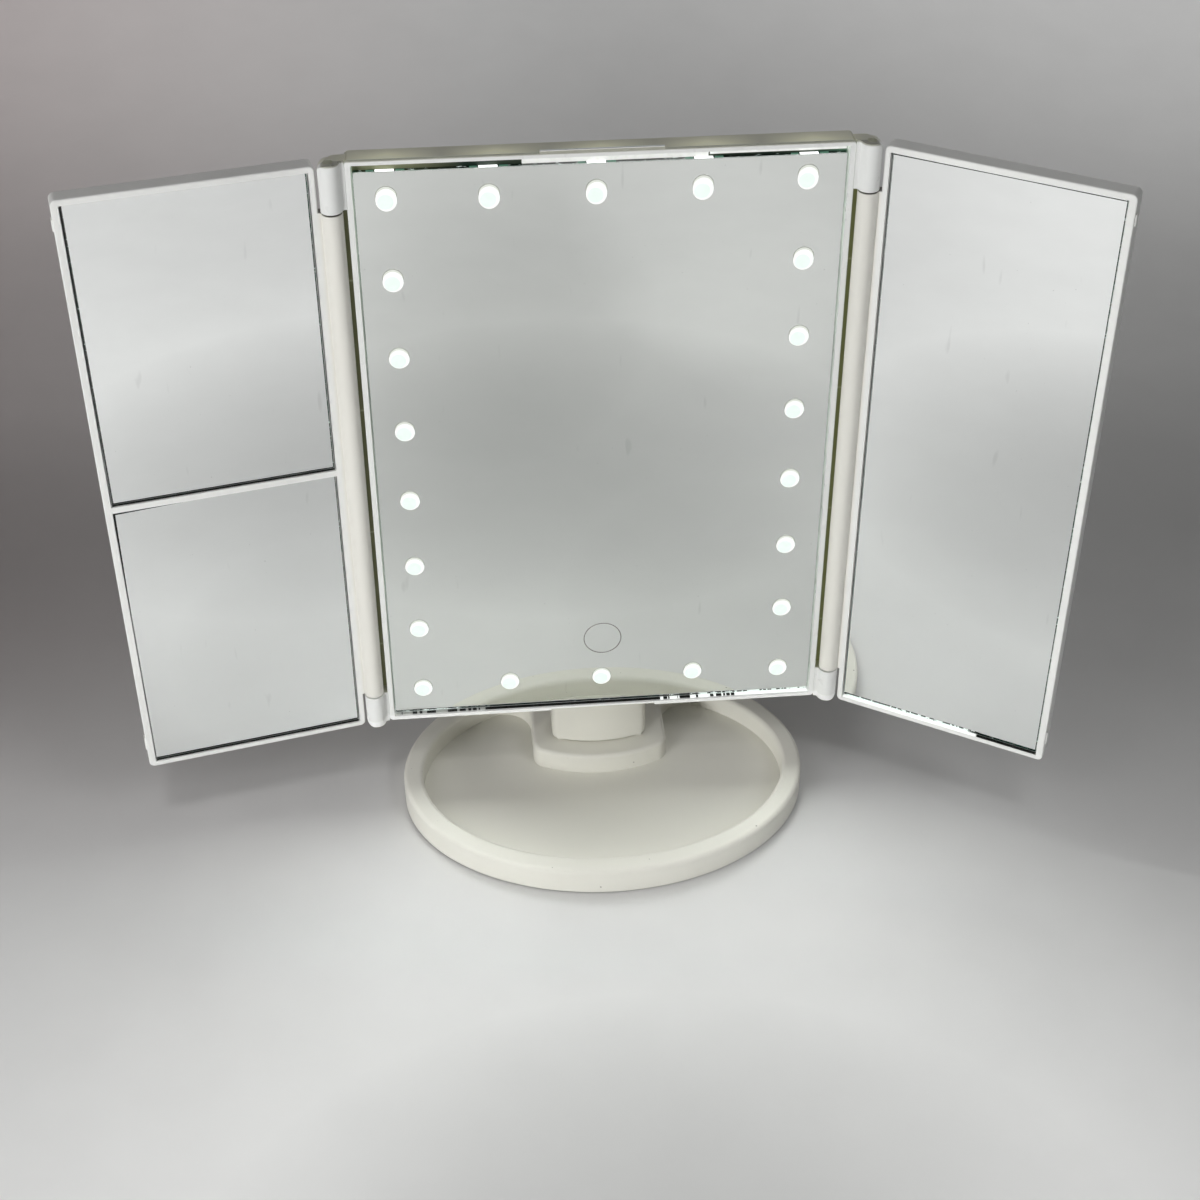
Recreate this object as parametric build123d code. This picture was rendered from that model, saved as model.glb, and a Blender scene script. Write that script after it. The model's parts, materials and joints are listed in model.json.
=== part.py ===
from build123d import *
import math
import os

# Lighted trifold vanity mirror.  Millimetres, +Z up, +Y towards the back.
# The origin is on the table, under the middle of the oval base.
# Panel and wing pieces are drawn upright in the panel's own frame: X across, Y from the
# front of the bezel towards the back, Z up from the bezel's lower edge.

# ---- placement of the moving groups ----
PANEL_FOOT_Y = -0.23          # lower front edge of the bezel
PANEL_FOOT_Z = 41.05
PANEL_LEAN = 1.01             # degrees backwards
LEFT_OPEN = 12.0              # degrees forward of flat, as the wing stands
RIGHT_OPEN = 31.5

# ---- centre panel ----
PANEL_HALF = 83.2
PANEL_HEIGHT = 235.06
BEZEL_LIP = 2.0
BEZEL_DEPTH = 1.0             # the bright front ring
SKIRT = 0.9
GLASS_FRONT = 2.0             # glass lies this far behind the lip
GLASS_THICKNESS = 1.8
TAPE = 0.4
CARRIER = 1.0                 # plate that carries the centre glass
CARRIER_BACK = GLASS_FRONT + GLASS_THICKNESS + TAPE + CARRIER
HOUSING_BACK = 9.0
HOUSING_WALL = 1.1
BACK_WALL = 1.4
INNER_BACK = HOUSING_BACK - BACK_WALL
GLASS_HALF = 80.9
GLASS_BOTTOM = 2.3
GLASS_TOP = 230.0
CATCH_HALF = 20.3
CATCH_HEIGHT = 0.85

# ---- lamps ----
LAMP_COLUMN = 69.2
LAMP_STEP_X = LAMP_COLUMN / 2
LAMP_BOTTOM = 13.39
LAMP_STEP_Z = 29.5
LAMP_ROWS = 8
LAMP_TOP = LAMP_BOTTOM + LAMP_STEP_Z * (LAMP_ROWS - 1)
LENS_RADIUS = 3.95
LENS_HOLE = 4.0
STRIP_WIDTH = 8.0
STRIP_THICKNESS = 1.0
CHIP_HEIGHT = 1.2
TOUCH_Z = 33.3
TOUCH_RADIUS = 6.5

# ---- wing hinges ----
HINGE_X = 88.2
EAR_RADIUS = 3.65
EAR_BACK = 5.2
EAR_OVERLAP = 0.6             # how far an ear's root runs into the side of the panel
EAR_SEAM = 0.5                # front and rear mouldings meet here
CURTAIN_FRONT = 4.2           # thin wall that closes the slot behind each hinge barrel
CURTAIN_REACH = 3.3           # how far it stands out from the side of the panel
EAR_TOP_START = 218.0
EAR_BOTTOM_END = 14.0
BARREL_RADIUS = 3.6
BARREL_GAP = 0.5
PIN_RADIUS = 1.2
PIN_LENGTH = 29.0
RUNNING_FIT = 0.05

# ---- wings ----
WING_INNER = 4.35             # hinge axis to the inner edge of the frame
WING_WIDTH = 83.2
WING_BOTTOM = -1.0
WING_TOP = 234.0
WING_FRONT = 0.5              # behind the hinge axis when the wing lies flat
WING_THICKNESS = 7.0
WING_CORNER = 2.0
WING_TAPE = 2.0               # foam sheet behind the wing glass
LIP_INNER = 2.0
LIP_OUTER = 2.5
LIP_TOP = 2.2
LIP_BOTTOM = 2.0
DIVIDER_LOW = 115.4
DIVIDER_HIGH = 117.8
PANE_GAP = 0.3
NUB = 0.4

# ---- tilt pivot, in the panel's frame ----
PIVOT_BACK = 22.0
PIVOT_UP = 21.0
KNUCKLE_RADIUS = 9.5
LUG_RADIUS = 9.0
LUG_THICKNESS = 6.5
WASHER = 0.5
SHAFT_RADIUS = 2.5

# ---- battery and switch housing on the back ----
BAY_HALF = 26.5
BAY_BOTTOM = 46.0
BAY_SPLIT = 106.0             # cells below, electronics above
BAY_TOP = 124.0
BAY_BACK = 22.5
BAY_WALL = 1.6
DOOR_GAP = 0.3
CELL_RADIUS = 5.25
CELL_LENGTH = 43.5
CELL_PITCH = 11.2
CELL_BOTTOM = 54.0
CELL_BACK = 14.8
SWITCH_X = -12.0
SWITCH_TRAVEL = 2.5
ELECTRONICS_Z = 115.0
BOARD_FRONT = 12.0
BOARD_THICKNESS = 1.2
SOCKET_HALF_HEIGHT = 3.7

# ---- stand ----
BASE_X = 79.5                 # half axes of the oval rim
BASE_Y = 60.4
RECESS_X = 71.8
RECESS_Y = 51.9
BASE_TOP = 11.34
FOOT_HEIGHT = 0.8
FLOOR_TOP = 2.4
BASE_WALL = 1.8
BOSS_HALF = 27.0
BOSS_FRONT = 4.2
BOSS_SHOULDER = 11.4
BOSS_CORNER = 6.0
RECESS_TIP = 11.0             # round ends of the recess, either side of the boss
RIM_ROUNDING = 1.6
NECK_HALF = 19.0
NECK_FRONT = 12.4
NECK_SHOULDER = 16.3
NECK_WALL = 2.2
NECK_BOTTOM = BASE_TOP + 0.4
PAD_INSET = 4.0
PAD_WIDTH = 4.0

PANEL = Pos(0, PANEL_FOOT_Y, PANEL_FOOT_Z) * Rot(-PANEL_LEAN, 0, 0)
LEFT_WING = PANEL * Pos(-HINGE_X, 0, 0) * Rot(0, 0, LEFT_OPEN)
RIGHT_WING = PANEL * Pos(HINGE_X, 0, 0) * Rot(0, 0, -RIGHT_OPEN)

LEAN = math.radians(PANEL_LEAN)
PIVOT_Y = PANEL_FOOT_Y + PIVOT_BACK * math.cos(LEAN) + PIVOT_UP * math.sin(LEAN)
PIVOT_Z = PANEL_FOOT_Z - PIVOT_BACK * math.sin(LEAN) + PIVOT_UP * math.cos(LEAN)
NECK_BACK = PIVOT_Y + KNUCKLE_RADIUS


def block(x, y, z):
    """A box from three (low, high) pairs."""
    size = [high - low for low, high in (x, y, z)]
    middle = [(low + high) / 2 for low, high in (x, y, z)]
    return Pos(*middle) * Box(*size)


def rod(axis, radius, low, high, a=0.0, b=0.0):
    """A cylinder along X, Y or Z from low to high; a and b are its other two coordinates."""
    middle = (low + high) / 2
    if axis == "x":
        return Pos(middle, a, b) * Rot(0, 90, 0) * Cylinder(radius, high - low)
    if axis == "y":
        return Pos(a, middle, b) * Rot(90, 0, 0) * Cylinder(radius, high - low)
    return Pos(a, b, middle) * Cylinder(radius, high - low)


def softened(solid, axis, radius):
    """Round all edges that run along one axis."""
    return fillet(solid.edges().filter_by(axis), radius)


def lamp_places():
    """(x, z) of the 22 lamps: two columns, joined by three more at the top and bottom."""
    places = []
    for side in (-1, 1):
        for row in range(LAMP_ROWS):
            places.append((side * LAMP_COLUMN, LAMP_BOTTOM + row * LAMP_STEP_Z))
    for z in (LAMP_BOTTOM, LAMP_TOP):
        for step in (-1, 0, 1):
            places.append((step * LAMP_STEP_X, z))
    return places


def screw_places():
    """(x, z) of the six screws that hold the rear housing to the front."""
    return [(side * 55.0, z) for side in (-1, 1) for z in (30.0, 118.0, 205.0)]


# ---- centre panel ----

def front_bezel():
    """Bright lip, thin skirt and carrier plate in one moulding."""
    ring = block((-PANEL_HALF, PANEL_HALF), (0, BEZEL_DEPTH), (0, PANEL_HEIGHT))
    ring = softened(ring, Axis.Y, 1.5)
    ring = chamfer(ring.faces().sort_by(Axis.Y)[0].edges(), 0.3)
    inner = PANEL_HALF - BEZEL_LIP
    window_z = (BEZEL_LIP - 0.2, PANEL_HEIGHT - BEZEL_LIP + 0.2)
    skirt = block(
        (-inner - SKIRT, inner + SKIRT),
        (BEZEL_DEPTH, CARRIER_BACK),
        (window_z[0] - 0.6, window_z[1] + 0.6),
    )
    body = ring + skirt - block((-inner, inner), (-1, CARRIER_BACK - CARRIER), window_z)
    for x, z in lamp_places():
        body -= rod("y", LENS_HOLE, 0, 9, x, z)
    for x, z in screw_places():
        body -= rod("y", 1.0, CARRIER_BACK - 0.8, 9, x, z)
    body -= rod("y", 1.6, 0, 9, 0, TOUCH_Z)
    body -= block((-CATCH_HALF, CATCH_HALF), (-1, BEZEL_DEPTH), (-1, 0.95))
    body += block(
        (-CATCH_HALF, CATCH_HALF),
        (0.05, BEZEL_DEPTH),
        (PANEL_HEIGHT - 0.2, PANEL_HEIGHT + CATCH_HEIGHT),
    )
    for half in hinge_ears(True):
        body += half
    return body


def ear_outline(side):
    """Plan of a fixed knuckle, flowing into the side of the panel."""
    eye = Pos(side * HINGE_X, 0) * Circle(EAR_RADIUS)
    root_width = HINGE_X - PANEL_HALF + EAR_OVERLAP
    root = Pos(side * (HINGE_X - root_width / 2), EAR_BACK / 2) * Rectangle(root_width, EAR_BACK)
    back_corner = root.vertices().sort_by(Axis.Y)[-2:].sort_by(Axis.X)[-1 if side > 0 else 0]
    outline = eye + fillet(back_corner, 2.0)
    hollow_corner = outline.vertices().filter_by(
        lambda v: abs(v.Y) < 0.01 and abs(abs(v.X) - (HINGE_X - EAR_RADIUS)) < 0.2
    )
    return fillet(hollow_corner, 1.0)


def hinge_ear(side, z):
    """Fixed knuckle on the side of the panel; its free end is rounded."""
    low, high = z
    at_top = high > PANEL_HEIGHT / 2
    ear = Pos(0, 0, low) * extrude(ear_outline(side), high - low)
    trim = block(
        sorted((side * (PANEL_HALF - 5), side * (HINGE_X + EAR_RADIUS))), (-9, 9), (low, high)
    )
    corners = trim.edges().filter_by(Axis.Y).sort_by(Axis.Z)
    corners = corners[-2:] if at_top else corners[:2]
    return ear & fillet(corners.sort_by(Axis.X)[-1 if side > 0 else 0], 3.0)


def hinge_ears(front):
    """The front or the rear halves of all four ears; they part on the seam."""
    kept = block((-100, 100), (-9, EAR_SEAM) if front else (EAR_SEAM, 9), (-1, PANEL_HEIGHT + 1))
    kept -= block((-PANEL_HALF, PANEL_HALF), (0, BEZEL_DEPTH), (-1, PANEL_HEIGHT + 1))
    halves = []
    for side in (-1, 1):
        for z in ((0, EAR_BOTTOM_END), (EAR_TOP_START, PANEL_HEIGHT)):
            ear = hinge_ear(side, z) & kept
            for low, high in pin_ranges():
                ear -= rod("z", PIN_RADIUS, low, high, side * HINGE_X, 0)
            ear -= rod("z", 1.7, PANEL_HEIGHT - 1.6, PANEL_HEIGHT + 1, side * HINGE_X, 0)
            halves.append(ear)
    return halves


def pin_ranges():
    """Heights of the lower and the upper hinge pin."""
    top = PANEL_HEIGHT - 1.6
    return [(1.0, 1.0 + PIN_LENGTH - 4), (top - PIN_LENGTH, top)]


def rear_housing():
    """Shell behind the bezel, with the hinge ears, tilt lugs and battery bay."""
    shell = block((-PANEL_HALF, PANEL_HALF), (BEZEL_DEPTH, HOUSING_BACK), (0, PANEL_HEIGHT))
    shell = softened(shell, Axis.Y, 1.5)
    shell = fillet(shell.faces().sort_by(Axis.Y)[-1].edges(), 1.2)
    inner = PANEL_HALF - HOUSING_WALL
    shell -= block(
        (-inner, inner),
        (0, INNER_BACK),
        (HOUSING_WALL, PANEL_HEIGHT - HOUSING_WALL),
    )
    shell += battery_bay()
    for half in hinge_ears(False):
        shell += half
    for side in (-1, 1):
        shell += tilt_lug(side)
        shell += block(
            sorted((side * (PANEL_HALF - 0.2), side * (PANEL_HALF + CURTAIN_REACH))),
            (CURTAIN_FRONT, EAR_BACK),
            (EAR_BOTTOM_END - 0.5, EAR_TOP_START + 0.5),
        )
        for snap in range(5):
            z = 36.5 + snap * 40.5
            shell += block(
                sorted((side * (PANEL_HALF - 0.2), side * (PANEL_HALF + 0.4))),
                (3.0, 6.0),
                (z - 1.2, z + 1.2),
            )
    shell -= rod("x", SHAFT_RADIUS, -40, 40, PIVOT_BACK, PIVOT_UP)
    for x, z in screw_places():
        shell += rod("y", 3.2, CARRIER_BACK, INNER_BACK, x, z)
        shell -= rod("y", 1.0, CARRIER_BACK - 1, HOUSING_BACK, x, z)
        shell -= rod("y", 2.3, HOUSING_BACK - 1.3, HOUSING_BACK + 1, x, z)
    return shell


def battery_bay():
    """Raised box on the back: cells below, board and switch above."""
    bay = block((-BAY_HALF, BAY_HALF), (INNER_BACK, BAY_BACK), (BAY_BOTTOM, BAY_TOP))
    bay = softened(bay, Axis.Y, 4.0)
    bay = fillet(bay.faces().sort_by(Axis.Y)[-1].edges(), 1.2)
    inner = BAY_HALF - BAY_WALL
    cells = block((-inner, inner), (HOUSING_BACK, 40), (BAY_BOTTOM + BAY_WALL, BAY_SPLIT))
    board_room = block(
        (-inner, inner),
        (0, BAY_BACK - BAY_WALL),
        (BAY_SPLIT + BAY_WALL, BAY_TOP - BAY_WALL),
    )
    knob_slot = block(
        (SWITCH_X - 1.5, SWITCH_X + 1.5 + SWITCH_TRAVEL),
        (0, 40),
        (ELECTRONICS_Z - 1.6, ELECTRONICS_Z + 1.6),
    )
    socket_hole = block(
        (0, 40),
        (BOARD_FRONT + BOARD_THICKNESS, BOARD_FRONT + BOARD_THICKNESS + 2.8),
        (ELECTRONICS_Z - SOCKET_HALF_HEIGHT, ELECTRONICS_Z + SOCKET_HALF_HEIGHT),
    )
    bay -= cells
    bay -= board_room
    bay -= knob_slot
    bay -= socket_hole
    ledge_back = BAY_BACK - BAY_WALL
    for low, high in ((BAY_BOTTOM + BAY_WALL, BAY_BOTTOM + BAY_WALL + 2), (BAY_SPLIT - 2, BAY_SPLIT)):
        bay += block((-inner, inner), (ledge_back - 1.5, ledge_back), (low - 0.2, high + 0.2))
    return bay


def battery_door():
    """Flat lid with a ribbed thumb patch; it lifts straight off the back."""
    inner = BAY_HALF - BAY_WALL - DOOR_GAP
    low = BAY_BOTTOM + BAY_WALL + DOOR_GAP
    high = BAY_SPLIT - DOOR_GAP
    lid = block((-inner, inner), (BAY_BACK - BAY_WALL, BAY_BACK), (low, high))
    lid = softened(lid, Axis.Y, 2.0)
    for rib in range(5):
        z = high - 10 + rib * 1.6
        lid -= block((-8, 8), (BAY_BACK - 0.5, BAY_BACK + 1), (z, z + 0.8))
    return lid


def tilt_lug(side):
    """One of the two arms that carry the tilt shaft."""
    x = sorted((side * (NECK_HALF + 0.1 + WASHER), side * (NECK_HALF + 0.1 + WASHER + LUG_THICKNESS)))
    eye = rod("x", LUG_RADIUS, x[0], x[1], PIVOT_BACK, PIVOT_UP)
    arm = block(x, (INNER_BACK + 0.2, PIVOT_BACK), (PIVOT_UP - LUG_RADIUS, PIVOT_UP + LUG_RADIUS))
    return eye + arm


def centre_mirror():
    glass = block(
        (-GLASS_HALF, GLASS_HALF),
        (GLASS_FRONT, GLASS_FRONT + GLASS_THICKNESS),
        (GLASS_BOTTOM, GLASS_TOP),
    )
    return softened(glass, Axis.Y, 0.8)


def centre_mirror_tape():
    """Foam tape between the glass and its carrier plate."""
    back = GLASS_FRONT + GLASS_THICKNESS
    pads = []
    for low, high in ((48, 108), (118, 200)):
        pads.append(block((-48, 48), (back, back + TAPE), (low, high)))
    return Compound(pads)


def lamp_lenses():
    back = GLASS_FRONT + GLASS_THICKNESS
    return Compound([rod("y", LENS_RADIUS, back, CARRIER_BACK, x, z) for x, z in lamp_places()])


def lamp_chips():
    front = INNER_BACK - STRIP_THICKNESS - CHIP_HEIGHT
    chips = []
    for x, z in lamp_places():
        chips.append(block((x - 1.75, x + 1.75), (front, front + CHIP_HEIGHT), (z - 1.4, z + 1.4)))
    return Compound(chips)


def upright_strip(side):
    half = STRIP_WIDTH / 2
    x = side * LAMP_COLUMN
    y = (INNER_BACK - STRIP_THICKNESS, INNER_BACK)
    return block((x - half, x + half), y, (LAMP_BOTTOM - 6, LAMP_TOP + 6))


def level_strip(z):
    half = STRIP_WIDTH / 2
    reach = LAMP_COLUMN - half - 0.2
    return block((-reach, reach), (INNER_BACK - STRIP_THICKNESS, INNER_BACK), (z - half, z + half))


def touch_sensor():
    """Sensing disc behind the etched ring, and its lead through the carrier."""
    back = GLASS_FRONT + GLASS_THICKNESS
    return rod("y", TOUCH_RADIUS, back, back + TAPE, 0, TOUCH_Z) + rod("y", 1.5, back, 6.4, 0, TOUCH_Z)


def housing_screws():
    screws = []
    for x, z in screw_places():
        shank = rod("y", 1.0, CARRIER_BACK - 0.8, HOUSING_BACK - 1, x, z)
        head = rod("y", 2.2, HOUSING_BACK - 1.3, HOUSING_BACK - 0.1, x, z)
        slot = block((x - 1.4, x + 1.4), (HOUSING_BACK - 0.7, HOUSING_BACK), (z - 0.25, z + 0.25))
        cross = block((x - 0.25, x + 0.25), (HOUSING_BACK - 0.7, HOUSING_BACK), (z - 1.4, z + 1.4))
        screws.append((shank + head - slot - cross).solid())
    return Compound(screws)


# ---- electronics ----

def control_board():
    return block(
        (-22, 22),
        (BOARD_FRONT, BOARD_FRONT + BOARD_THICKNESS),
        (ELECTRONICS_Z - 6, ELECTRONICS_Z + 6),
    )


def board_chips():
    face = BOARD_FRONT + BOARD_THICKNESS
    controller = block((-2, 3), (face, face + 1.6), (ELECTRONICS_Z - 2, ELECTRONICS_Z + 2))
    coil = rod("y", 2.4, face, face + 2.4, 8, ELECTRONICS_Z)
    return Compound([controller.solid(), coil.solid()])


def switch_body():
    """Slide switch soldered to the board, against the back wall of the bay."""
    face = BOARD_FRONT + BOARD_THICKNESS
    body = block(
        (SWITCH_X - 5, SWITCH_X + 5 + SWITCH_TRAVEL),
        (face, BAY_BACK - BAY_WALL),
        (ELECTRONICS_Z - 3, ELECTRONICS_Z + 3),
    )
    room = block(
        (SWITCH_X - 3, SWITCH_X + 3 + SWITCH_TRAVEL),
        (face + 2.5, BAY_BACK),
        (ELECTRONICS_Z - 1.6, ELECTRONICS_Z + 1.6),
    )
    return body - room


def power_switch():
    """Slide knob that stands proud of the back."""
    face = BOARD_FRONT + BOARD_THICKNESS
    height = (ELECTRONICS_Z - 1.2, ELECTRONICS_Z + 1.2)
    stem = block((SWITCH_X - 1.2, SWITCH_X + 1.2), (face + 2.9, BAY_BACK - 0.4), height)
    shoulder = block((SWITCH_X - 2.4, SWITCH_X + 2.4), (face + 2.9, BAY_BACK - BAY_WALL - 0.6), height)
    return stem + shoulder


def charge_socket():
    """Small power inlet that opens in the side of the bay."""
    face = BOARD_FRONT + BOARD_THICKNESS
    shell = block((19.5, 25.6), (face, face + 2.7), (ELECTRONICS_Z - 3.6, ELECTRONICS_Z + 3.6))
    mouth = block((21, 30), (face + 0.4, face + 2.3), (ELECTRONICS_Z - 3.1, ELECTRONICS_Z + 3.1))
    tongue = block((20.8, 24.8), (face + 0.9, face + 1.4), (ELECTRONICS_Z - 1.8, ELECTRONICS_Z + 1.8))
    return shell - mouth + tongue


def cell_columns():
    return [(step - 1.5) * CELL_PITCH for step in range(4)]


def battery_cells():
    """Four AAA cells, alternately up and down."""
    cells = []
    for index, x in enumerate(cell_columns()):
        up = index % 2 == 0
        low = CELL_BOTTOM if up else CELL_BOTTOM + 1.0
        can = rod("z", CELL_RADIUS, low, low + CELL_LENGTH, x, CELL_BACK)
        cap = (low + CELL_LENGTH - 0.1, low + CELL_LENGTH + 1.0) if up else (low - 1.0, low + 0.1)
        cells.append((can + rod("z", 1.9, cap[0], cap[1], x, CELL_BACK)).solid())
    return Compound(cells)


def battery_springs():
    """Wire springs at the flat end of each cell."""
    springs = []
    wire = 0.4
    for index, x in enumerate(cell_columns()):
        up = index % 2 == 0
        start = CELL_BOTTOM - wire if up else CELL_BOTTOM + 1.0 + CELL_LENGTH + wire
        step = -0.7 if up else 0.7
        coil = Pos(x, CELL_BACK, start) * Torus(3.0, wire)
        for turn in range(1, 7):
            coil += Pos(x, CELL_BACK, start + turn * step) * Torus(3.0, wire)
        springs.append(coil.solid())
    return Compound(springs)


def battery_contacts():
    """Plated strips at the two ends of the cells."""
    low = BAY_BOTTOM + BAY_WALL
    strips = []
    for z in ((low, low + 0.5), (BAY_SPLIT - 0.5, BAY_SPLIT)):
        strips.append(block((-21, 21), (HOUSING_BACK + 0.6, 19), z))
    return Compound(strips)


def lamp_wires():
    """Pairs of leads from the board bay to the two upright strips."""
    wires = []
    for side in (-1, 1):
        for lift in (-1.2, 1.2):
            x = sorted((side * 24, side * (LAMP_COLUMN - STRIP_WIDTH / 2)))
            wires.append(rod("x", 0.6, x[0], x[1], INNER_BACK - 1.1, ELECTRONICS_Z - 5 + lift))
    return Compound(wires)


# ---- wings, drawn for the right side with the hinge axis at x = 0 ----

def wing_panes(split):
    """Heights of the glass pockets."""
    low = WING_BOTTOM + LIP_BOTTOM
    high = WING_TOP - LIP_TOP
    return [(low, DIVIDER_LOW), (DIVIDER_HIGH, high)] if split else [(low, high)]


def pane_width(gap):
    return (WING_INNER + LIP_INNER + gap, WING_INNER + WING_WIDTH - LIP_OUTER - gap)


def wing_frame(split):
    """Tray for the glass, with the hinge barrel on its inner edge."""
    back = WING_FRONT + WING_THICKNESS
    tray = block((WING_INNER, WING_INNER + WING_WIDTH), (WING_FRONT, back), (WING_BOTTOM, WING_TOP))
    tray = softened(tray, Axis.Y, WING_CORNER)
    tray = fillet(tray.faces().sort_by(Axis.Y)[-1].edges(), 1.0)
    tray = fillet(tray.faces().sort_by(Axis.Y)[0].edges(), 0.5)
    barrel_z = (EAR_BOTTOM_END + BARREL_GAP, EAR_TOP_START - BARREL_GAP)
    barrel = rod("z", BARREL_RADIUS, barrel_z[0], barrel_z[1])
    web = block((0, WING_INNER + 1), (WING_FRONT, BARREL_RADIUS), barrel_z)
    barrel = chamfer(barrel.edges(), 0.35)
    frame = tray + barrel + web
    pocket_back = WING_FRONT + 1.5 + GLASS_THICKNESS + WING_TAPE
    for pane in wing_panes(split):
        frame -= block(pane_width(0), (-1, pocket_back), pane)
    for low, high in pin_ranges():
        frame -= rod("z", PIN_RADIUS + RUNNING_FIT, low - 0.5, high + 0.5)
    outer = WING_INNER + WING_WIDTH
    for low, high in ((7.0, 12.5), (223.0, 227.0)):
        frame += block((outer - 1, outer + NUB), (WING_FRONT + 1, WING_FRONT + 3.2), (low, high))
    return frame


def wing_glass(pane):
    front = WING_FRONT + 1.5
    low, high = pane
    glass = block(pane_width(PANE_GAP), (front, front + GLASS_THICKNESS), (low + PANE_GAP, high - PANE_GAP))
    return softened(glass, Axis.Y, 0.6)


def wing_tape(split):
    front = WING_FRONT + 1.5 + GLASS_THICKNESS
    pads = []
    for low, high in wing_panes(split):
        x_low, x_high = pane_width(5)
        pads.append(block((x_low, x_high), (front, front + WING_TAPE), (low + 5, high - 5)))
    return Compound(pads)


def hinge_pins(side):
    """Steel pins fixed in the ears; the barrel turns on them."""
    return Compound([rod("z", PIN_RADIUS, low, high, side * HINGE_X, 0) for low, high in pin_ranges()])


# ---- stand ----

def boss_outline(inset=0.0):
    """Plan of the raised pad under the neck; it runs out past the rear rim."""
    half = BOSS_HALF - inset
    shoulder = BOSS_SHOULDER + inset
    front = ThreePointArc((-half, shoulder), (0, BOSS_FRONT + inset), (half, shoulder))
    sides = Polyline((half, shoulder), (half, BASE_Y), (-half, BASE_Y), (-half, shoulder))
    outline = make_face(front + sides)
    corners = outline.vertices().sort_by(Axis.Y)[:2]
    return fillet(corners, BOSS_CORNER - inset)


def recess_outline(grow=0.0):
    """Plan of the tray's hollow: the inner oval less the boss, with rounded tips."""
    plan = Ellipse(RECESS_X + grow, RECESS_Y + grow) - boss_outline(grow)
    tips = plan.vertices().sort_by(Axis.Y)[-2:]
    return fillet(tips, RECESS_TIP + grow)


def base_tray():
    tray = Pos(0, 0, FOOT_HEIGHT) * extrude(Ellipse(BASE_X, BASE_Y), BASE_TOP - FOOT_HEIGHT)
    tray -= Pos(0, 0, FLOOR_TOP) * extrude(recess_outline(), BASE_TOP)
    tops = tray.edges().filter_by(lambda e: abs(e.center().Z - BASE_TOP) < 0.01)
    tray = fillet(tops, RIM_ROUNDING)
    hollow = Ellipse(BASE_X - BASE_WALL, BASE_Y - BASE_WALL) - recess_outline(BASE_WALL)
    tray -= extrude(hollow, BASE_TOP - BASE_WALL)
    tray -= extrude(Pos(0, PIVOT_Y + 1) * Rectangle(30.2, 12.2), 30)
    return tray


def anti_slip_pad():
    """Rubber band under the tray that follows the outline of the recess."""
    band = recess_outline(-PAD_INSET) - recess_outline(-PAD_INSET - PAD_WIDTH)
    return extrude(band, FOOT_HEIGHT)


def neck_outline():
    """Plan of the neck: bowed front, flat back, rounded corners."""
    front = ThreePointArc((-NECK_HALF, NECK_SHOULDER), (0, NECK_FRONT), (NECK_HALF, NECK_SHOULDER))
    sides = Polyline(
        (NECK_HALF, NECK_SHOULDER),
        (NECK_HALF, NECK_BACK),
        (-NECK_HALF, NECK_BACK),
        (-NECK_HALF, NECK_SHOULDER),
    )
    return fillet(make_face(front + sides).vertices(), 3.5)


def neck_screw_places():
    return [(side * 11.0, z) for side in (-1, 1) for z in (22.0, 46.0)]


def neck():
    """The whole neck before it is split through the tilt axis."""
    plan = neck_outline()
    column = Pos(0, 0, NECK_BOTTOM) * extrude(plan, 80)
    column = fillet(column.faces().sort_by(Axis.Z)[0].edges(), 1.0)
    crown = rod("x", KNUCKLE_RADIUS, -NECK_HALF, NECK_HALF, PIVOT_Y, PIVOT_Z)
    column &= block((-50, 50), (0, 60), (0, PIVOT_Z)) + crown
    column -= Pos(0, 0, NECK_BOTTOM + 3) * extrude(offset(plan, -NECK_WALL), PIVOT_Z - NECK_BOTTOM - 14)
    middle = PIVOT_Y + 1
    column += block((-17, 17), (middle - 7.5, middle + 7.5), (BASE_TOP, NECK_BOTTOM + 1))
    column += block((-15, 15), (middle - 6, middle + 6), (BASE_TOP - BASE_WALL, NECK_BOTTOM + 1))
    for x, z in neck_screw_places():
        column += rod("y", 3.4, NECK_SHOULDER, NECK_BACK - 1, x, z)
        column -= rod("y", 1.25, NECK_SHOULDER + 3, NECK_BACK + 1, x, z)
        column -= rod("y", 2.4, NECK_BACK - 2, NECK_BACK + 1, x, z)
    for x, y in clamp_screw_places():
        column -= rod("z", 1.25, 0, NECK_BOTTOM + 1.6, x, y)
    column -= rod("x", SHAFT_RADIUS + RUNNING_FIT, -40, 40, PIVOT_Y, PIVOT_Z)
    return column


def neck_half(front):
    """Front or rear shell; they meet on the plane of the tilt shaft."""
    y = (-50, PIVOT_Y) if front else (PIVOT_Y, 90)
    return neck() & block((-50, 50), y, (0, 120))


def neck_screws():
    screws = []
    for x, z in neck_screw_places():
        shank = rod("y", 1.25, NECK_SHOULDER + 3.4, NECK_BACK - 1, x, z)
        head = rod("y", 2.3, NECK_BACK - 2, NECK_BACK - 0.6, x, z)
        slot = block((x - 1.6, x + 1.6), (NECK_BACK - 1.2, NECK_BACK), (z - 0.3, z + 0.3))
        screws.append((shank + head - slot).solid())
    return Compound(screws)


def clamp_screw_places():
    return [(side * 9.0, y) for side in (-1, 1) for y in (PIVOT_Y - 2.4, PIVOT_Y + 4.4)]


def clamp_plate():
    """Steel plate under the boss that clamps the neck down."""
    top = BASE_TOP - BASE_WALL
    middle = PIVOT_Y + 1
    plate = block((-18, 18), (middle - 8.5, middle + 8.5), (top - 1.5, top))
    plate = softened(plate, Axis.Z, 2.0)
    for x, y in clamp_screw_places():
        plate -= rod("z", 1.25, 0, 20, x, y)
    return plate


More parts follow.
